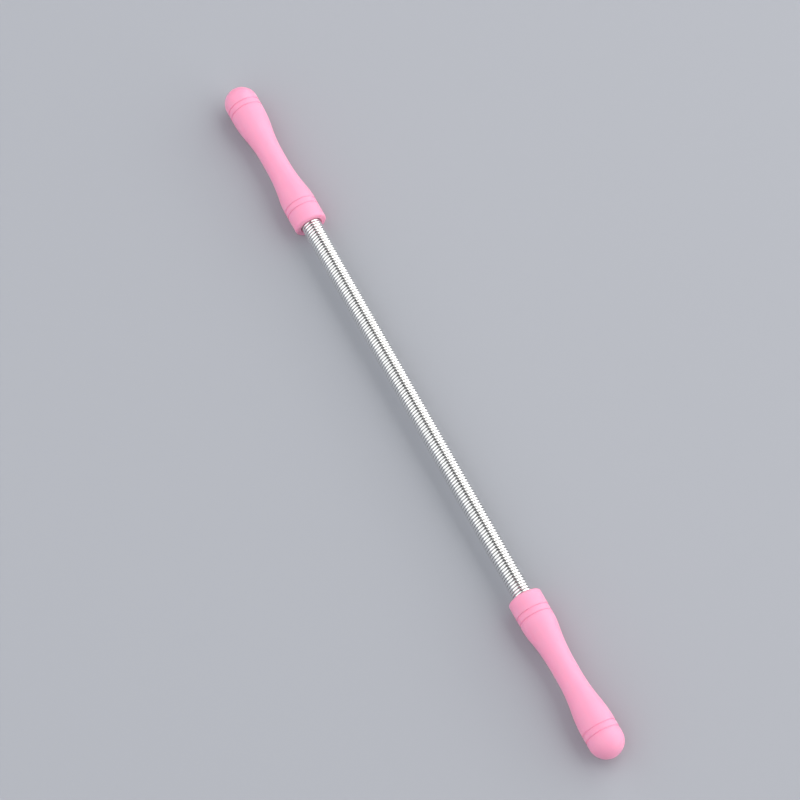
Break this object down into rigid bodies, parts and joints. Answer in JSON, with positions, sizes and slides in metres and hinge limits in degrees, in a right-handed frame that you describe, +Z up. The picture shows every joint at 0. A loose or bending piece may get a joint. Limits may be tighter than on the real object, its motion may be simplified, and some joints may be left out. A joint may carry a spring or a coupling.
{
  "type": "facial hair removal spring",
  "caption": "Close-wound steel coil with a moulded plastic handle on each end, bent into a curve and rolled over skin to pull out fine facial hair.",
  "frame": {"origin": "middle of the part, on the shared axis of the coil and the handles", "axes": "+X along the axis towards the right handle's tip; +Z is up as it lies on a table"},
  "size_m": [0.2606, 0.0112, 0.0114],
  "materials": {
    "pink_plastic": "smooth moulded, soft gloss",
    "bright_wire": "bright drawn and plated spring wire"
  },
  "bodies": {
    "root": {"left_handle": "pink_plastic", "right_handle": "pink_plastic", "spring": "bright_wire"}
  },
  "joints": []
}
